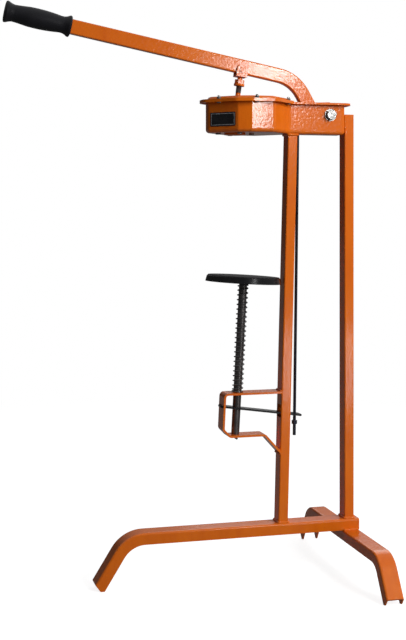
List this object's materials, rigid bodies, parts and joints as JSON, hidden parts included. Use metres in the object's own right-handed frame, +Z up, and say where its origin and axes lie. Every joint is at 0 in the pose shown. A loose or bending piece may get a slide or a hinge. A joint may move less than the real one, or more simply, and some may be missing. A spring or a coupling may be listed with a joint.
{
  "type": "lever corker",
  "caption": "Floor-standing lever corker: bent channel base, tube posts, pressed jaw head, long lever with grip, and a sprung bottle platform with a clamping bar.",
  "frame": {"origin": "On the floor, under the middle of the overall length, in the mid-plane of the frame", "axes": "+Z up, +X towards the rear post and away from the grip, Y across, with the XZ plane as the mid-plane of the frame"},
  "size_m": [0.705, 0.4712, 1.1131],
  "materials": {
    "orange_paint": "gloss",
    "black_paint": "gloss",
    "zinc": "satin",
    "dark_steel": "satin",
    "spring_steel": "satin",
    "cast": "matte",
    "brass": "satin",
    "grip_plastic": "gloss",
    "label": "satin"
  },
  "bodies": {
    "frame": {"main_beam": "orange_paint", "cross_leg": "orange_paint", "rear_post": "orange_paint", "front_post": "orange_paint", "head_tub": "orange_paint", "head_cover": "orange_paint", "cover_bolts": "zinc", "cover_nuts": "zinc", "label_plate": "label", "pivot_bolt": "zinc", "pivot_washers": "zinc", "pivot_nut": "zinc", "jaw_guide": "cast", "guide_screws": "zinc", "mouth_ring": "brass", "spindle_bracket": "orange_paint", "spring_washer": "zinc", "plate_spring": "spring_steel"},
    "lever": {"lever_tube": "orange_paint", "lever_cheeks": "orange_paint", "lever_grip": "grip_plastic", "pivot_bush": "zinc", "drive_pin": "zinc", "pull_pin": "zinc", "clevis_pin": "zinc"},
    "plunger": {"plunger_rod": "zinc", "stop_nut": "zinc", "stop_washer": "zinc"},
    "cam": {"cam_plate": "zinc"},
    "jaw_1": {"jaw_1": "brass"},
    "jaw_2": {"jaw_2": "brass"},
    "jaw_3": {"jaw_3": "brass"},
    "jaw_4": {"jaw_4": "brass"},
    "pull": {"pull_rod": "dark_steel", "pull_rod_nut": "zinc"},
    "brake": {"brake_bar": "black_paint"},
    "platform": {"spindle": "dark_steel", "bottle_plate": "black_paint", "retaining_pin": "zinc"}
  },
  "joints": [
    {"name": "lever_pivot", "type": "hinge", "parent": "frame", "child": "lever", "pos_m": [0.29097, 0, 0.911], "axis": [0, 1, 0], "range_deg": [-6.8, 25]},
    {"name": "plunger_swing", "type": "hinge", "parent": "lever", "child": "plunger", "pos_m": [0.11147, 0, 0.99641], "axis": [0, 1, 0], "range_deg": [-5.5, 1.8]},
    {"name": "cam_slide", "type": "slide", "parent": "frame", "child": "cam", "axis": [1, 0, 0], "range_m": [-0.00247, 0.00883]},
    {"name": "jaw_slide_1", "type": "slide", "parent": "frame", "child": "jaw_1", "axis": [0.7071, 0.7071, 0], "range_m": [-0.00134, 0.00481]},
    {"name": "jaw_slide_2", "type": "slide", "parent": "frame", "child": "jaw_2", "axis": [-0.7071, 0.7071, 0], "range_m": [-0.00134, 0.00481]},
    {"name": "jaw_slide_3", "type": "slide", "parent": "frame", "child": "jaw_3", "axis": [-0.7071, -0.7071, 0], "range_m": [-0.00134, 0.00481]},
    {"name": "jaw_slide_4", "type": "slide", "parent": "frame", "child": "jaw_4", "axis": [0.7071, -0.7071, 0], "range_m": [-0.00134, 0.00481]},
    {"name": "pull_rod_swing", "type": "hinge", "parent": "lever", "child": "pull", "pos_m": [0.23017, 0, 0.921], "axis": [0, 1, 0], "range_deg": [-24.5, 7]},
    {"name": "brake_tilt", "type": "hinge", "parent": "frame", "child": "brake", "pos_m": [0.07467, 0, 0.3375], "axis": [0, -1, 0], "range_deg": [-1.6, 5.6]},
    {"name": "platform_slide", "type": "slide", "parent": "frame", "child": "platform", "axis": [0.0558, 0, 0.9984], "range_m": [-0.07, 0], "stiffness_N_per_m": 1500, "springref_m": 0.03, "deforming": ["plate_spring"]}
  ],
  "couplings": [
    {"joint": "plunger_swing", "follows": "lever_pivot", "ratio": -0.2},
    {"joint": "cam_slide", "follows": "lever_pivot", "m_per_rad": 0.02},
    {"joint": "pull_rod_swing", "follows": "lever_pivot", "ratio": -0.96},
    {"joint": "brake_tilt", "follows": "lever_pivot", "ratio": 0.22},
    {"joint": "jaw_slide_1", "follows": "lever_pivot", "m_per_rad": 0.0109},
    {"joint": "jaw_slide_2", "follows": "lever_pivot", "m_per_rad": 0.0109},
    {"joint": "jaw_slide_3", "follows": "lever_pivot", "m_per_rad": 0.0109},
    {"joint": "jaw_slide_4", "follows": "lever_pivot", "m_per_rad": 0.0109}
  ]
}
